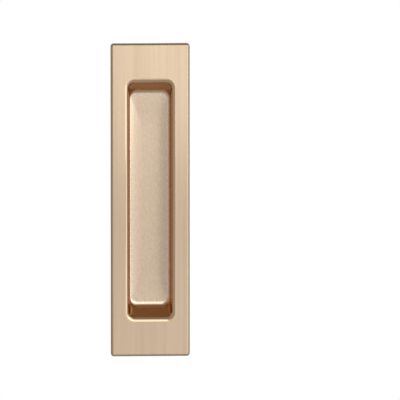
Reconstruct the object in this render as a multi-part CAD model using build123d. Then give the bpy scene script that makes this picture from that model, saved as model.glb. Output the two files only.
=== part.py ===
from build123d import *
import os
from math import cos, radians, tan

# Flush pull for a sliding door: a cast cover with a sunk finger cup, held by four spring clips
# on a moulded frame that is screwed to the door behind it.
# X runs across the pull, Y into the door and Z up. Y is 0 on the face of the door, and the
# origin lies at the middle of the pull. Lengths are in millimetres and angles in degrees.

# Cover plate
plate_width = 40.0
plate_length = 160.0
plate_proud = 3.0  # how far the plate stands in front of the door
plate_corner = 1.5  # rounding of the four corners, seen from the front
plate_edge = 1.3  # rounding round the front edge
skin = 1.2  # metal behind the front face
rim_wall = 1.4  # metal round the back pocket

# Finger cup
side_band = 9.25  # front face left beside the cup, its walls carried up to that face
end_band = 19.55  # front face left above and below the cup
mouth_corner = 2.7
recess_depth = 10.6  # from the front face to the floor of the cup
side_draft = 0.5  # lean of the long walls
end_slope = 27.0  # lean of the two end walls
floor_corner = 4.6
lip_radius = 2.4  # soft roll from the front face into the cup
floor_radius = 2.0  # sweep from the walls to the floor
cup_wall = 1.4
root_radius = 1.0  # back of the skin, round the cup

# Mounting frame
frame_clearance = 0.3  # between the frame and the rim of the cover
cup_clearance = 1.2  # between the frame and the cup
frame_corner = 1.0
frame_lead = 0.5  # bevel that guides the rim of the cover over the frame

# Wood screws
screw_inset = 8.3  # from the sides and ends of the frame
screw_length = 16.0
head_diameter = 6.6
head_rim = 0.1
shank_diameter = 3.5
tip_length = 3.5
hole_diameter = 3.9
head_sink = 0.1  # head below the face of the frame
head_gap = 0.03  # between the cone of the head and its countersink
drive_width = 0.9
drive_span = 3.6
drive_depth = 1.3
drive_taper = 8.0

# Spring clips, bent from strip
clip_along = 70.0  # spacing of the clips up the pull
clip_width = 10.0
strip = 0.4
flange_margin = 0.85  # frame left beside the end of the flange
seat_notch = 0.5  # how far the clip's web is let into the frame
seat_clearance = 0.1
bend_radius = 0.6
clip_touch = 0.03  # between the bow of the clip and the cup
bow_depth = 2.5  # from the face of the door to the bow
bow_angle = 35.0
flare_rise = 1.3
tail_length = 3.0
peg_diameter = 1.6
peg_gap = 0.05

# Catch ridges on the cup
ridge_height = 0.35
ridge_length = 8.0
ridge_lead = 1.3  # easy slope that rides past the clip
ridge_gap = 0.35  # from the bow of the clip to the foot of the ridge
ridge_root = 0.4  # sunk in the wall of the cup

# Depths along Y
front_face = -plate_proud
frame_front = front_face + skin
door_face = 0.0
cup_floor = front_face + recess_depth
seat_floor = frame_front + strip

# Sizes across and up the pull
pocket_width = plate_width - 2 * rim_wall
pocket_length = plate_length - 2 * rim_wall
frame_width = pocket_width - 2 * frame_clearance
frame_length = pocket_length - 2 * frame_clearance
mouth_width = plate_width - 2 * side_band
mouth_length = plate_length - 2 * end_band

corners = [(x, z) for x in (-1, 1) for z in (-1, 1)]


def at_depth(depth):
    """Upright plane that faces the room, at this depth along Y."""
    return Plane.XZ.offset(-depth)


def upright_prism(width, length, corner, front, back):
    """Rounded rectangle that runs from one depth to another."""
    return extrude(at_depth(back) * RectangleRounded(width, length, corner), amount=back - front)


def cup_outline(depth, wall=0.0):
    """Width, length and corner radius of the cup at a depth, with a wall round it."""
    sunk = depth - front_face
    width = mouth_width - 2 * sunk * tan(radians(side_draft)) + 2 * wall / cos(radians(side_draft))
    length = mouth_length - 2 * sunk * tan(radians(end_slope)) + 2 * wall / cos(radians(end_slope))
    corner = mouth_corner + (floor_corner - mouth_corner) * sunk / recess_depth + wall
    return width, length, corner


def cup_form(front, wall=0.0):
    """Tapered form of the cup from a depth down to its swept floor, with a wall round it.

    The four walls are flat, and the corners between them widen towards the floor.
    """
    depths = (front, cup_floor + wall)
    mouth, floor = (
        (at_depth(depth) * RectangleRounded(*cup_outline(depth, wall))).face() for depth in depths
    )
    sides = []
    for top, bottom in zip(mouth.outer_wire().edges(), floor.outer_wire().edges()):
        if top.geom_type == GeomType.LINE:
            sides.append(Face(Wire.make_polygon([top @ 0, top @ 1, bottom @ 1, bottom @ 0])))
        else:
            sides.append(Face.make_surface_from_curves(top, bottom))
    form = Solid(Shell([mouth, floor, *sides]))
    return fillet(form.faces().sort_by(Axis.Y)[-1].edges(), floor_radius + wall)


def cup_side(depth):
    """Distance from the middle to the outside of the cup's long wall."""
    return cup_outline(depth, cup_wall)[0] / 2


def bow_corner():
    """Corner that the clip's outer line makes at its bow, before it is rounded."""
    touch = cup_side(bow_depth) + clip_touch
    return touch + strip + bend_radius - bend_radius / cos(radians(bow_angle))


def catch_ridge():
    """Ridge on the right wall of the cup, at mid height, that the bow of a clip holds."""
    foot = bow_depth + ridge_gap
    crest = foot + ridge_height / tan(radians(bow_angle))
    wall = cup_side(foot)
    profile = Polyline(
        (wall - ridge_root, foot),
        (wall, foot),
        (wall + ridge_height, crest),
        (wall, crest + ridge_lead),
        (wall - ridge_root, crest + ridge_lead),
        close=True,
    )
    return extrude(make_face(profile), amount=ridge_length / 2, both=True)


def face_cover():
    """Plate, back pocket and finger cup, cast in one piece."""
    cover = upright_prism(plate_width, plate_length, plate_corner, front_face, door_face)
    cover -= upright_prism(
        pocket_width, pocket_length, plate_corner / 2, frame_front, door_face
    )
    cover += cup_form(frame_front, cup_wall)
    pocket_floor = cover.faces().filter_by(
        lambda face: abs(face.center().Y - frame_front) < 1e-3
    )
    cover = fillet(pocket_floor.sort_by(SortBy.AREA)[-1].inner_wires()[0].edges(), root_radius)
    cover -= cup_form(front_face)
    front = cover.faces().sort_by(Axis.Y)[0]
    cover = fillet(front.inner_wires()[0].edges(), lip_radius)
    front = cover.faces().sort_by(Axis.Y)[0]
    cover = fillet(front.outer_wire().edges(), plate_edge)
    ridge = catch_ridge()
    for across, up in corners:
        placed = Pos(0, 0, up * clip_along / 2) * ridge
        cover += placed if across > 0 else mirror(placed, about=Plane.YZ)
    return cover


def frame_opening():
    """Width, length and corner radius of the hole in the frame."""
    width, length, corner = cup_outline(frame_front, cup_wall)
    return width + 2 * cup_clearance, length + 2 * cup_clearance, corner + cup_clearance


def clip_web():
    """Distance from the middle to the outer side of a clip's web."""
    return frame_opening()[0] / 2 + seat_notch


def flange_end():
    """Distance from the middle to the end of a clip's flange."""
    return frame_width / 2 - flange_margin


def clip_line(*further):
    """Line of a clip's outer side: along its flange, round the frame and on to the points given."""
    web = clip_web()
    points = [(flange_end(), seat_floor), (web, seat_floor), *further]
    return FilletPolyline(*points, radius=bend_radius)


def peg(diameter):
    """Round peg through the flange of the right-hand clip, at mid height."""
    middle = (clip_web() + bend_radius + flange_end()) / 2
    stem = Cylinder(diameter / 2, strip, align=(Align.CENTER, Align.CENTER, Align.MIN))
    return Pos(middle, seat_floor, 0) * Rot(90, 0, 0) * stem


def spring_clip():
    """Right-hand clip at mid height: flange, web, bow and tail of one bent strip."""
    slope = tan(radians(bow_angle))
    web, bow = clip_web(), bow_corner()
    flare = bow + flare_rise * slope
    outer = clip_line(
        (web, bow_depth - (web - bow) / slope),
        (bow, bow_depth),
        (flare, bow_depth + flare_rise),
        (flare, bow_depth + flare_rise + tail_length),
    )
    section = make_face(offset(outer, strip, side=Side.LEFT))
    clip = extrude(section, amount=clip_width / 2, both=True)
    return clip - peg(peg_diameter + 2 * peg_gap)


def clip_seat():
    """Space in the frame for the right-hand clip, at mid height."""
    web = clip_web()
    seat = clip_line((web, door_face))
    inside = web - seat_notch - strip
    outline = seat + Polyline(
        (web, door_face),
        (inside, door_face),
        (inside, frame_front),
        (flange_end(), frame_front),
        (flange_end(), seat_floor),
    )
    room = extrude(make_face(outline), amount=clip_width / 2 + seat_clearance, both=True)
    return room - peg(peg_diameter)


def at_clip_places(right_piece):
    """Copies of a right-hand piece at the four clip places, with their names."""
    sides = {-1: "left", 1: "right"}
    levels = {-1: "lower", 1: "upper"}
    placed = {}
    for across, up in corners:
        piece = Pos(0, 0, up * clip_along / 2) * right_piece
        piece = piece if across > 0 else mirror(piece, about=Plane.YZ)
        placed[f"{levels[up]}_{sides[across]}"] = piece
    return placed


def screw_places():
    """Places of the screws, near the corners of the frame."""
    across = frame_width / 2 - screw_inset
    up = frame_length / 2 - screw_inset
    return [Pos(x * across, 0, z * up) for x, z in corners]


def screw_bore():
    """Countersunk hole through the frame, on the Y axis."""
    cone_start = frame_front + head_sink + head_rim
    radius = hole_diameter / 2
    cone = head_diameter / 2 + head_gap
    profile = Polyline(
        (0, frame_front),
        (cone + cone_start - frame_front, frame_front),
        (radius, cone_start + cone - radius),
        (radius, door_face),
        (0, door_face),
        close=True,
    )
    return revolve(make_face(profile), Axis.Y)


def wood_screw():
    """Countersunk screw with a cross recess, on the Y axis."""
    top = frame_front + head_sink
    head = head_diameter / 2
    shank = shank_diameter / 2
    end = top + screw_length
    profile = Polyline(
        (0, top),
        (head, top),
        (head, top + head_rim),
        (shank, top + head_rim + head - shank),
        (shank, end - tip_length),
        (0, end),
        close=True,
    )
    drive = Rectangle(drive_span, drive_width) + Rectangle(drive_width, drive_span)
    recess = extrude(Plane.XZ.offset(-top) * drive, amount=-drive_depth, taper=drive_taper)
    return revolve(make_face(profile), Axis.Y) - recess


def mounting_frame():
    """Moulded frame that fills the pocket of the cover and takes the screws and clips."""
    frame = upright_prism(frame_width, frame_length, frame_corner, frame_front, door_face)
    frame = chamfer(frame.faces().sort_by(Axis.Y)[0].edges(), frame_lead)
    frame -= upright_prism(*frame_opening(), frame_front, door_face)
    frame -= [place * screw_bore() for place in screw_places()]
    frame -= list(at_clip_places(clip_seat()).values())
    return frame


nodes = {
    "face_cover": face_cover(),
    "mounting_frame": mounting_frame(),
    "fixing_screws": Compound([place * wood_screw() for place in screw_places()]),
}
for place, clip in at_clip_places(spring_clip()).items():
    nodes[f"clip_{place}"] = clip

os.makedirs("parts", exist_ok=True)
for name, shape in nodes.items():
    export_step(shape, f"parts/{name}.step")
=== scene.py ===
from math import cos, pi, radians, sin, sqrt, tan

import bmesh
import bpy
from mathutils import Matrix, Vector


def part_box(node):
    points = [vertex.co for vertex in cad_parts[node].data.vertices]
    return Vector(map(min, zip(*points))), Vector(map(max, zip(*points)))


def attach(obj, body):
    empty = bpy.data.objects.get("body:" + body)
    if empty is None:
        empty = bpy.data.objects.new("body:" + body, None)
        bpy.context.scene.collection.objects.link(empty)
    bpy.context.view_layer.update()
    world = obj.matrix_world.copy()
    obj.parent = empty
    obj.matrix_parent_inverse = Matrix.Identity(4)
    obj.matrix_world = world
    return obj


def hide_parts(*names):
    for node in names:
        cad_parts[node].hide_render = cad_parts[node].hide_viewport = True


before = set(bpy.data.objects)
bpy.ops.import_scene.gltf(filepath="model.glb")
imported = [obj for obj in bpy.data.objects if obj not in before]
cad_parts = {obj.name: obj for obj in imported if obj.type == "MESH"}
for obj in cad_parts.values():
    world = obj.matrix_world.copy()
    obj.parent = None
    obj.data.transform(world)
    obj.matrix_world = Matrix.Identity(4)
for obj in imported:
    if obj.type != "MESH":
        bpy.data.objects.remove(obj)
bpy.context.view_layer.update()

# Sizes of the cover, in metres, as it is cast
MM = 0.001
cover_low, cover_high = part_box("face_cover")
frame_low, frame_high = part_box("mounting_frame")
frame_front = frame_low.y
front_face = cover_low.y
door_face = 0.0
plate_width = cover_high.x - cover_low.x
plate_length = cover_high.z - cover_low.z
plate_corner = 1.5 * MM
plate_edge = 1.3 * MM
rim_wall = 1.4 * MM
side_band = 9.25 * MM
end_band = 19.55 * MM
mouth_corner = 2.7 * MM
floor_corner = 4.6 * MM
recess_depth = 10.6 * MM
cup_floor = front_face + recess_depth
cup_wall = cover_high.y - cup_floor
side_draft = radians(0.5)
end_slope = radians(27.0)

# How far the rounded parts of the cup reach over the flat ones beside them
lip_setback = 2.0 * MM
floor_setback = 1.5 * MM
end_setback = 2.5 * MM
root_setback = 0.8 * MM

# Shallow dish of the cup's floor
dish_depth = 0.6 * MM
dish_width = 6.0 * MM
dish_stretch = 3.0
floor_edge = cup_floor - dish_depth

# Catch ridges on the outside of the cup
clip_along = 70.0 * MM
ridge_foot = 2.85 * MM
ridge_height = 0.35 * MM
ridge_length = 8.0 * MM
ridge_lead = 1.3 * MM
ridge_root = 0.4 * MM
ridge_angle = radians(35)

# Threads of the screws
screw_inset = 8.3 * MM
screw_across = frame_high.x - screw_inset
screw_up = frame_high.z - screw_inset
screw_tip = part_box("fixing_screws")[1].y
shank_radius = 1.75 * MM
thread_sink = 0.05 * MM
thread_rise = 0.3 * MM
thread_pitch = 1.6 * MM
thread_half_width = 0.3 * thread_pitch
thread_start = 1.0 * MM
thread_turns = 7
tip_length = 3.5 * MM

# How finely rounded forms are divided, and the narrow strip that keeps flat faces flat beside them
corner_steps = 12
arc_steps = 12
dish_steps = 8
thread_steps = 24
hold = 0.12 * MM

# Points closer than the weld are joined, and edges that turn by more than the angle stay sharp
weld = 0.001 * MM
sharp_angle = radians(38)

# Camera and picture
picture_pixels = 400
pixels_per_metre = 1973.5
camera_rise = radians(8.1)
camera_left = radians(2.8)
camera_distance = 5.0
camera_reach = 50.0
sensor = 36.0
aim = Vector((25.2 * MM, front_face, 0.07 * MM))

# Colours
plate_pale = (0.82, 0.63, 0.445, 1.0)
plate_dark = (0.77, 0.585, 0.407, 1.0)
# Darker tone of the plate's rounded edge and rim: painted shade
edge_painted_shade = (0.6, 0.41, 0.26, 1.0)
lip_tone = (0.81, 0.585, 0.385, 1.0)
# Darker, deeper copper of the cup's walls: painted shade of the recess
wall_painted_shade = (0.64, 0.335, 0.145, 1.0)
floor_pale = (0.91, 0.73, 0.545, 1.0)
floor_dark = (0.82, 0.65, 0.49, 1.0)
nylon_pale = (0.062, 0.062, 0.068, 1.0)
nylon_dark = (0.042, 0.042, 0.047, 1.0)
zinc_pale = (0.66, 0.66, 0.65, 1.0)
zinc_dark = (0.57, 0.575, 0.57, 1.0)
spring_pale = (0.58, 0.59, 0.61, 1.0)
spring_dark = (0.51, 0.52, 0.54, 1.0)
studio_pale = (0.86, 0.86, 0.855, 1.0)
studio_dark = (0.845, 0.845, 0.84, 1.0)

# Roughness, from the hollows of a texture to its crests where there are two numbers
plate_roughness = (0.315, 0.285)
wall_roughness = 0.14
floor_roughness = (0.36, 0.42)
nylon_roughness = (0.46, 0.58)
zinc_roughness = (0.36, 0.24)
spring_roughness = (0.3, 0.22)
studio_roughness = 0.9

# Brushing of the copper, and the shade and heights of the marks on all finishes
plate_brushing = 0.75
cup_brushing = 0.8
streak_shade = 0.95
streak_height = 0.002 * MM
speckle_height = 0.018 * MM
spark_height = 0.012 * MM
zinc_height = 0.003 * MM
spring_height = 0.002 * MM

# Depths between which one finish of the copper fades into the next, and the painted shade of the plate's
# edge and of the cup's walls fades in and out
edge_shade_depths = (front_face + 0.1 * MM, front_face + 0.6 * MM)
lip_to_shade_depths = (front_face + 0.35 * MM, front_face + 1.4 * MM)
shade_to_floor_depths = (floor_edge - 0.9 * MM, floor_edge - 0.15 * MM)
satin_fade = (floor_edge - 0.4 * MM, floor_edge + 0.45 * MM)
speckle_fade = (floor_edge + 0.05 * MM, floor_edge + 0.5 * MM)

# Noise of the textures: its detail, and the limits between which it is spread from 0 to 1
noise_detail = 2.0
noise_range = (0.3, 0.7)

# Size of each texture across, into and up the pull
metal_textures = {
    "Soft streak": (2.4 * MM, 2.4 * MM, 150 * MM),
    "Fine streak": (0.25 * MM, 0.25 * MM, 60 * MM),
    "Speckle": (1.0 * MM, 1.0 * MM, 1.6 * MM),
    "Rolled line": (6 * MM, 6 * MM, 0.18 * MM),
}
mould_textures = {
    "Flow": (9 * MM, 9 * MM, 26 * MM),
    "Spark": (0.22 * MM, 0.22 * MM, 0.22 * MM),
}

# Soft patches of light round the studio: direction, inner and outer angle, and how bright, where 1 is
# white. The backdrop is the white patch that metal mirrors behind the pull.
front_patch = ((0.55, -1, 0.12), 28, 56, 0.33)
low_patch = ((0.1, -1, -0.9), 15, 55, 0.13)
left_patch = ((-1, -0.35, 0), 20, 60, 0.1)
backdrop_patch = ((0, 1, -0.14), 8, 10, 1.0)
studio_light = 0.27

# Floor of the studio
studio_floor_reach = 0.8
studio_floor_level = -0.5
studio_floor_glow = 0.8


def add_camera():
    """Long lens, a little above the pull and to its left."""
    data = bpy.data.cameras.new("camera")
    camera = bpy.data.objects.new("camera", data)
    bpy.context.scene.collection.objects.link(camera)
    across = -sin(camera_left) * cos(camera_rise)
    towards = Vector((across, -cos(camera_left) * cos(camera_rise), sin(camera_rise)))
    camera.location = aim + towards * camera_distance
    camera.rotation_euler = (-towards).to_track_quat("-Z", "Y").to_euler()
    data.sensor_width = sensor
    data.lens = sensor * camera_distance * pixels_per_metre / picture_pixels
    data.clip_end = camera_reach
    bpy.context.scene.camera = camera


def set_inputs(tree, node, inputs):
    """Puts numbers, colours or other nodes' outputs on the inputs of a node."""
    for key, value in inputs.items():
        if isinstance(value, bpy.types.NodeSocket):
            tree.links.new(value, node.inputs[key])
        else:
            node.inputs[key].default_value = value


def add_node(tree, kind, inputs, **settings):
    """Node of a kind, with its inputs and its settings."""
    node = tree.nodes.new(kind)
    for setting, value in settings.items():
        setattr(node, setting, value)
    set_inputs(tree, node, inputs)
    return node


def fade(tree, value, start, end, low=0.0, high=1.0):
    """Value brought smoothly from a low to a high number between two limits."""
    inputs = {"Value": value, "From Min": start, "From Max": end, "To Min": low, "To Max": high}
    return add_node(tree, "ShaderNodeMapRange", inputs, interpolation_type="SMOOTHSTEP").outputs["Result"]


def mix_colours(tree, share, first, second):
    """Colour between two, by the second one's share."""
    inputs = {0: share, 6: first, 7: second}
    return add_node(tree, "ShaderNodeMix", inputs, data_type="RGBA").outputs[2]


def mix_numbers(tree, share, first, second):
    """Number between two, by the second one's share."""
    inputs = {0: share, 2: first, 3: second}
    return add_node(tree, "ShaderNodeMix", inputs, data_type="FLOAT").outputs[0]


def combine(tree, operation, first, second):
    """Arithmetic on two numbers or outputs."""
    return add_node(tree, "ShaderNodeMath", {0: first, 1: second}, operation=operation).outputs["Value"]


def texture_group(name, textures):
    """Node group that turns a position into values, each from noise of its own size."""
    group = bpy.data.node_groups.new(name, "ShaderNodeTree")
    group.interface.new_socket("Position", in_out="INPUT", socket_type="NodeSocketVector")
    start = group.nodes.new("NodeGroupInput")
    end = group.nodes.new("NodeGroupOutput")
    for title, grain in textures.items():
        group.interface.new_socket(title, in_out="OUTPUT", socket_type="NodeSocketFloat")
        inputs = {0: start.outputs["Position"], 1: [1 / size for size in grain]}
        stretched = add_node(group, "ShaderNodeVectorMath", inputs, operation="MULTIPLY").outputs["Vector"]
        inputs = {"Vector": stretched, "Scale": 1.0, "Detail": noise_detail}
        noise = add_node(group, "ShaderNodeTexNoise", inputs).outputs["Fac"]
        group.links.new(fade(group, noise, *noise_range), end.inputs[title])
    return group


def object_place(tree):
    """Place of a point on the pull."""
    return tree.nodes.new("ShaderNodeTexCoord").outputs["Object"]


def new_material(name, group):
    """Material with a group of textures in it: also its node tree and the outputs of the group."""
    material = bpy.data.materials.new(name)
    material.use_nodes = True
    tree = material.node_tree
    texture = tree.nodes.new("ShaderNodeGroup")
    texture.node_tree = group
    tree.links.new(object_place(tree), texture.inputs["Position"])
    return material, tree, texture.outputs


def depth_into_door(tree):
    """Depth of a point, along Y."""
    return add_node(tree, "ShaderNodeSeparateXYZ", {0: object_place(tree)}).outputs["Y"]


def brushing_round_pull(tree):
    """Tangent of metal that is brushed up and down, so that its reflections spread across."""
    tangent = add_node(tree, "ShaderNodeTangent", {}, direction_type="RADIAL", axis="Z")
    return tangent.outputs["Tangent"]


def bump(tree, texture, height):
    """Normal of a surface raised by a texture up to a height."""
    return add_node(tree, "ShaderNodeBump", {"Height": texture, "Distance": height}).outputs["Normal"]


def set_shader(tree, inputs):
    """Sets the inputs of a material's shader."""
    set_inputs(tree, tree.nodes["Principled BSDF"], inputs)


def brushed_copper(metal_grain):
    """Face of the cover, brushed up and down, with painted shade where it turns round its edge."""
    material, tree, grain = new_material("copper_brushed", metal_grain)
    fine = grain["Fine streak"]
    tone = mix_colours(tree, grain["Soft streak"], plate_dark, plate_pale)
    inputs = {0: tone, "Scale": fade(tree, fine, 0.0, 1.0, streak_shade, 1.0)}
    tone = add_node(tree, "ShaderNodeVectorMath", inputs, operation="SCALE").outputs["Vector"]
    # Painted shade on the rounded edge and the rim, behind the flat face
    edge_shade = fade(tree, depth_into_door(tree), *edge_shade_depths)
    set_shader(tree, {
        "Base Color": mix_colours(tree, edge_shade, tone, edge_painted_shade),
        "Metallic": 1.0,
        "Roughness": fade(tree, fine, 0.0, 1.0, *plate_roughness),
        "Anisotropic": plate_brushing,
        "Tangent": brushing_round_pull(tree),
        "Normal": bump(tree, fine, streak_height),
    })
    return material


def cup_copper(metal_grain):
    """Finger cup: smooth lip, painted shade on the walls and a satin floor."""
    material, tree, grain = new_material("copper_cup", metal_grain)
    speckle = grain["Speckle"]
    depth = depth_into_door(tree)
    # Painted shade on the walls, between the lip and the floor
    past_lip_into_shade = fade(tree, depth, *lip_to_shade_depths)
    past_wall = fade(tree, depth, *shade_to_floor_depths)
    painted_wall_shade = combine(tree, "SUBTRACT", past_lip_into_shade, past_wall)
    satin = mix_colours(tree, speckle, floor_dark, floor_pale)
    tone = mix_colours(tree, past_wall, lip_tone, satin)
    satin_roughness = fade(tree, speckle, 0.0, 1.0, *floor_roughness)
    on_satin = fade(tree, depth, *satin_fade)
    grainy = combine(tree, "MULTIPLY", fade(tree, depth, *speckle_fade), speckle)
    set_shader(tree, {
        "Base Color": mix_colours(tree, painted_wall_shade, tone, wall_painted_shade),
        "Metallic": 1.0,
        "Roughness": mix_numbers(tree, on_satin, wall_roughness, satin_roughness),
        "Anisotropic": cup_brushing,
        "Tangent": brushing_round_pull(tree),
        "Normal": bump(tree, grainy, speckle_height),
    })
    return material


def moulded_nylon(mould_grain):
    """Black nylon of the mounting frame, spark finished with faint flow marks."""
    material, tree, grain = new_material("nylon_moulded", mould_grain)
    set_shader(tree, {
        "Base Color": mix_colours(tree, grain["Flow"], nylon_dark, nylon_pale),
        "Roughness": fade(tree, grain["Spark"], 0.0, 1.0, *nylon_roughness),
        "Normal": bump(tree, grain["Spark"], spark_height),
    })
    return material


def bare_steel(name, metal_grain, texture, tones, roughness, height):
    """Steel whose tone, roughness and marks follow one texture of the metal's grain."""
    material, tree, grain = new_material(name, metal_grain)
    marks = grain[texture]
    set_shader(tree, {
        "Base Color": mix_colours(tree, marks, *tones),
        "Metallic": 1.0,
        "Roughness": fade(tree, marks, 0.0, 1.0, *roughness),
        "Normal": bump(tree, marks, height),
    })
    return material


def studio_card(mould_grain):
    """Matt pale card of the studio's floor, which blends into the backdrop for the camera."""
    material, tree, grain = new_material("studio_card", mould_grain)
    tone = mix_colours(tree, grain["Flow"], studio_dark, studio_pale)
    seen = tree.nodes.new("ShaderNodeLightPath").outputs["Is Camera Ray"]
    set_shader(tree, {
        "Base Color": tone,
        "Roughness": studio_roughness,
        "Emission Color": tone,
        "Emission Strength": combine(tree, "MULTIPLY", seen, studio_floor_glow),
    })
    return material


def smooth_shading(bm):
    """Shades a mesh smooth, apart from its sharp edges."""
    for face in bm.faces:
        face.smooth = True
    for edge in bm.edges:
        edge.smooth = len(edge.link_faces) == 2 and edge.calc_face_angle() < sharp_angle


def move(bm, parts, way):
    """Moves the vertices among some parts of a mesh."""
    verts = [part for part in parts if isinstance(part, bmesh.types.BMVert)]
    bmesh.ops.translate(bm, verts=verts, vec=way)


def add_object(name, bm, materials):
    """Turns a bmesh into an object of the scene."""
    mesh = bpy.data.meshes.new(name)
    bm.to_mesh(mesh)
    bm.free()
    for material in materials:
        mesh.materials.append(material)
    added = bpy.data.objects.new(name, mesh)
    bpy.context.scene.collection.objects.link(added)
    return added


def add_piece(name, bm, materials):
    """Turns a bmesh into a piece that rides on the pull's one body."""
    piece = add_object(name, bm, materials)
    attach(piece, "root")
    return piece


def add_outline(bm, half_width, half_length, corner, depth):
    """Edges of an upright rounded rectangle at a depth, about the pull's middle."""
    signs = ((-1, -1), (1, -1), (1, 1), (-1, 1))
    points = [bm.verts.new((x * half_width, depth, z * half_length)) for x, z in signs]
    faces_before = set(bm.faces)
    bm.faces.new(points)
    bmesh.ops.bevel(
        bm, geom=points, offset=corner, offset_type="OFFSET", segments=corner_steps,
        profile=0.5, affect="VERTICES", clamp_overlap=False, material=-1,
    )
    face = (set(bm.faces) - faces_before).pop()
    edges = list(face.edges)
    bmesh.ops.delete(bm, geom=[face], context="FACES_ONLY")
    return edges


def basin_reach(sunk, depth, slope, lip, sweep):
    """How far the wall of a basin stands out from its mouth line, at a depth below its rim.

    The rim rolls in over a setback, the wall leans in by its slope, and it sweeps to the floor.
    """
    lip_radius = lip / tan((pi / 2 - slope) / 2)
    sweep_radius = sweep / tan((pi / 2 - slope) / 2)
    above = depth - sunk
    if sunk < lip * cos(slope):
        return lip - sqrt(max(0.0, 2 * lip_radius * sunk - sunk**2))
    if above < sweep * cos(slope):
        return sqrt(max(0.0, 2 * sweep_radius * above - above**2)) - sweep - depth * tan(slope)
    return -sunk * tan(slope)


def basin_outlines(half_width, half_length, top, depth, corners, lip, sweeps):
    """Outlines of a basin from its rim down to its floor, with sweeps beside it and at its ends."""
    turn = [pi / 2 * step / arc_steps for step in range(arc_steps + 1)]
    levels = [lip * (1 - cos(angle)) for angle in turn]
    levels += [depth - max(sweeps) * (1 - cos(angle)) for angle in reversed(turn)]
    outlines = []
    for sunk in levels:
        across = basin_reach(sunk, depth, side_draft, lip, sweeps[0])
        along = basin_reach(sunk, depth, end_slope, lip, sweeps[1])
        corner = corners[0] + (corners[1] - corners[0]) * sunk / depth
        corner += across + sunk * tan(side_draft)
        outlines.append((half_width + across, half_length + along, corner, top + sunk))
    return outlines


def dished_floor(width, length, corner, level):
    """Outlines of the shallow dish from the foot of the sweep to the flat middle of the floor."""
    outlines = []
    for step in range(1, dish_steps + 1):
        share = step / dish_steps
        inset = dish_width * share
        inner_corner = max(hold, corner - inset)
        sunk = dish_depth * (1 - (1 - share) ** 2)
        outlines.append((width - inset, length - dish_stretch * inset, inner_corner, level + sunk))
    return outlines


def cup_outlines():
    """Outlines of the finger cup, from the flat face round its lip to the middle of its floor."""
    outlines = basin_outlines(
        plate_width / 2 - side_band, plate_length / 2 - end_band, front_face, recess_depth - dish_depth,
        (mouth_corner, floor_corner), lip_setback, (floor_setback, end_setback),
    )
    width, length, corner, level = outlines[0]
    rim = (width + hold, length + hold, corner + hold, level)
    return [rim, *outlines, *dished_floor(*outlines[-1])]


def back_outlines():
    """Outlines of the back of the cup, from the skin of the plate to the middle of its back."""
    skin = frame_front - front_face
    back_setback = floor_setback + cup_wall
    outlines = basin_outlines(
        plate_width / 2 - side_band - skin * tan(side_draft) + cup_wall / cos(side_draft),
        plate_length / 2 - end_band - skin * tan(end_slope) + cup_wall / cos(end_slope),
        frame_front, recess_depth + cup_wall - skin,
        (mouth_corner + cup_wall, floor_corner + cup_wall), root_setback, (back_setback, back_setback),
    )
    width, length, corner, level = outlines[-1]
    return [*outlines, (width - hold, length - hold, corner - hold, level)]


def edge_outlines():
    """Outlines of the plate from the back of its rim, round its edge, to its flat face."""
    width, length = plate_width / 2, plate_length / 2
    outlines = [(width, length, plate_corner, door_face)]
    outlines.append((width, length, plate_corner, front_face + plate_edge + hold))
    for step in range(arc_steps + 1):
        angle = pi / 2 * step / arc_steps
        inset = plate_edge * (1 - cos(angle))
        level = front_face + plate_edge * (1 - sin(angle))
        outlines.append((width - inset, length - inset, plate_corner - inset, level))
    inset = plate_edge + hold
    outlines.append((width - inset, length - inset, plate_corner - plate_edge, front_face))
    return outlines


def cover_outlines():
    """Outlines over the whole casting: back of the cup, back pocket, rim, plate and cup."""
    width, length = plate_width / 2 - rim_wall, plate_length / 2 - rim_wall
    pocket = [(width, length, plate_corner / 2, level) for level in (frame_front, door_face)]
    return [*reversed(back_outlines()), *pocket, *edge_outlines(), *cup_outlines()]


def add_ridges(bm):
    """Catch ridges on the long walls of the cup, that the clips hold."""
    crest = ridge_foot + ridge_height / tan(ridge_angle)
    wall = plate_width / 2 - side_band + cup_wall - (ridge_foot - front_face) * tan(side_draft)
    profile = (
        (wall - ridge_root, ridge_foot), (wall, ridge_foot), (wall + ridge_height, crest),
        (wall, crest + ridge_lead), (wall - ridge_root, crest + ridge_lead),
    )
    for side in (-1, 1):
        for level in (-clip_along / 2, clip_along / 2):
            foot = level - ridge_length / 2
            start = bm.faces.new([bm.verts.new((side * x, y, foot)) for x, y in profile])
            prism = bmesh.ops.extrude_face_region(bm, geom=[start])["geom"]
            move(bm, prism, (0, 0, ridge_length))


def is_in_cup(face):
    """True for the faces of the lip, the walls and the floor, and false for the rest of the casting."""
    middle = face.calc_center_median()
    across = abs(middle.x) < plate_width / 2 - side_band + lip_setback
    along = abs(middle.z) < plate_length / 2 - end_band + lip_setback
    turned_in = face.normal.x * middle.x + face.normal.z * middle.z < hold
    return across and along and turned_in and middle.y < cup_floor + hold


def add_cover(plate_finish, cup_finish):
    """Cast cover: plate with its rim, and the cup sunk in it."""
    bm = bmesh.new()
    outlines = cover_outlines()
    for near, far in zip(outlines, outlines[1:]):
        bmesh.ops.bridge_loops(bm, edges=add_outline(bm, *near) + add_outline(bm, *far))
    for flat in (outlines[0], outlines[-1]):
        bmesh.ops.contextual_create(bm, geom=add_outline(bm, *flat))
    bmesh.ops.remove_doubles(bm, verts=bm.verts, dist=weld)
    add_ridges(bm)
    bmesh.ops.recalc_face_normals(bm, faces=bm.faces)
    smooth_shading(bm)
    for face in bm.faces:
        face.material_index = int(is_in_cup(face))
    cover = add_piece("cover_casting", bm, [plate_finish, cup_finish])
    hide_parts("face_cover")


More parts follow.
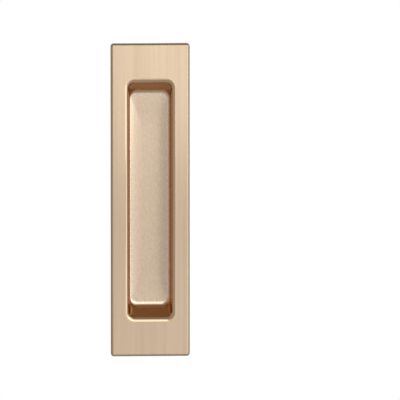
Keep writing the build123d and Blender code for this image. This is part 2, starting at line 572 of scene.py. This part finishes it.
def add_threads(finish):
    """Threads on the shanks of the four screws, narrowing to their tips."""
    bm = bmesh.new()
    root = shank_radius - thread_sink
    crest = shank_radius + thread_rise
    profile = ((root, -thread_half_width), (crest, 0), (root, thread_half_width))
    start = bm.faces.new([bm.verts.new((x, thread_start + y, 0)) for x, y in profile])
    bmesh.ops.spin(
        bm, geom=[start, *start.edges, *start.verts], cent=(0, 0, 0), axis=(0, 1, 0),
        dvec=(0, thread_pitch / thread_steps, 0), angle=2 * pi * thread_turns,
        steps=thread_turns * thread_steps, use_merge=False,
    )
    for vert in bm.verts:
        near_tip = min(1.0, (screw_tip - vert.co.y) / tip_length)
        vert.co.x *= near_tip
        vert.co.z *= near_tip
    thread = [*bm.verts, *bm.edges, *bm.faces]
    first, *others = [(x * screw_across, 0, z * screw_up) for x in (-1, 1) for z in (-1, 1)]
    for place in others:
        copy = bmesh.ops.duplicate(bm, geom=thread)["geom"]
        move(bm, copy, place)
    move(bm, thread, first)
    bmesh.ops.recalc_face_normals(bm, faces=bm.faces)
    smooth_shading(bm)
    add_piece("screw_threads", bm, [finish])


def add_floor(finish):
    """Floor of the studio, below the picture."""
    bm = bmesh.new()
    bmesh.ops.create_grid(bm, x_segments=1, y_segments=1, size=studio_floor_reach)
    move(bm, bm.verts, (0, 0, studio_floor_level))
    floor = add_object("studio_floor", bm, [finish])


def soft_patch(tree, way, middle, inner, outer, brightness):
    """Brightness within an angle of a direction, in degrees, that falls to 0 at a wider angle."""
    inputs = {0: way, 1: Vector(middle).normalized()}
    facing = add_node(tree, "ShaderNodeVectorMath", inputs, operation="DOT_PRODUCT").outputs["Value"]
    return fade(tree, facing, cos(radians(outer)), cos(radians(inner)), 0.0, brightness)


def add_world():
    """White backdrop, and a soft studio that is brighter in front, below and at the left."""
    world = bpy.data.worlds.new("studio")
    bpy.context.scene.world = world
    world.use_nodes = True
    tree = world.node_tree
    way = tree.nodes.new("ShaderNodeTexCoord").outputs["Generated"]
    path = tree.nodes.new("ShaderNodeLightPath").outputs
    mirrored = combine(tree, "ADD", path["Is Glossy Ray"], path["Is Transmission Ray"])
    mirrored = combine(tree, "MULTIPLY", mirrored, soft_patch(tree, way, *backdrop_patch))
    white = combine(tree, "MAXIMUM", path["Is Camera Ray"], mirrored)
    studio = studio_light
    for patch in (front_patch, low_patch, left_patch):
        studio = combine(tree, "ADD", soft_patch(tree, way, *patch), studio)
    set_inputs(tree, tree.nodes["Background"], {
        "Color": (1.0, 1.0, 1.0, 1.0), "Strength": mix_numbers(tree, white, studio, 1.0),
    })


def add_softbox(name, place, size, radiance):
    """Rectangular lamp turned to the pull, as bright as a white card at a radiance."""
    data = bpy.data.lights.new(name, "AREA")
    data.shape = "RECTANGLE"
    data.size, data.size_y = size
    data.energy = radiance * pi * size[0] * size[1]
    lamp = bpy.data.objects.new(name, data)
    bpy.context.scene.collection.objects.link(lamp)
    lamp.location = place
    lamp.rotation_euler = Vector(place).to_track_quat("Z", "Y").to_euler()
    lamp.visible_camera = False


metal_grain = texture_group("metal_grain", metal_textures)
mould_grain = texture_group("mould_grain", mould_textures)
zinc = bare_steel(
    "steel_zinc", metal_grain, "Speckle", (zinc_dark, zinc_pale), zinc_roughness, zinc_height,
)
spring = bare_steel(
    "steel_spring", metal_grain, "Rolled line", (spring_dark, spring_pale), spring_roughness, spring_height,
)
add_cover(brushed_copper(metal_grain), cup_copper(metal_grain))
add_threads(zinc)
add_floor(studio_card(mould_grain))

finishes = {name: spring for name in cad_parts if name.startswith("clip_")}
finishes["mounting_frame"] = moulded_nylon(mould_grain)
finishes["fixing_screws"] = zinc
for name, finish in finishes.items():
    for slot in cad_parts[name].material_slots:
        slot.material = finish

add_camera()
add_world()
add_softbox("softbox_side", (0.72, -0.95, 0.1), (0.5, 1.0), 0.65)
add_softbox("softbox_top", (0.4, -1.2, 0.6), (1.1, 0.8), 0.6)
add_softbox("softbox_back", (0.0, 1.3, 0.35), (1.8, 1.5), 0.4)
add_softbox("card_upper", (0.12, -0.4, 0.055), (0.3, 0.19), 0.66)
add_softbox("card_lower", (0.12, -0.4, -0.14), (0.3, 0.1), 0.23)
bpy.context.scene.view_settings.view_transform = "Standard"
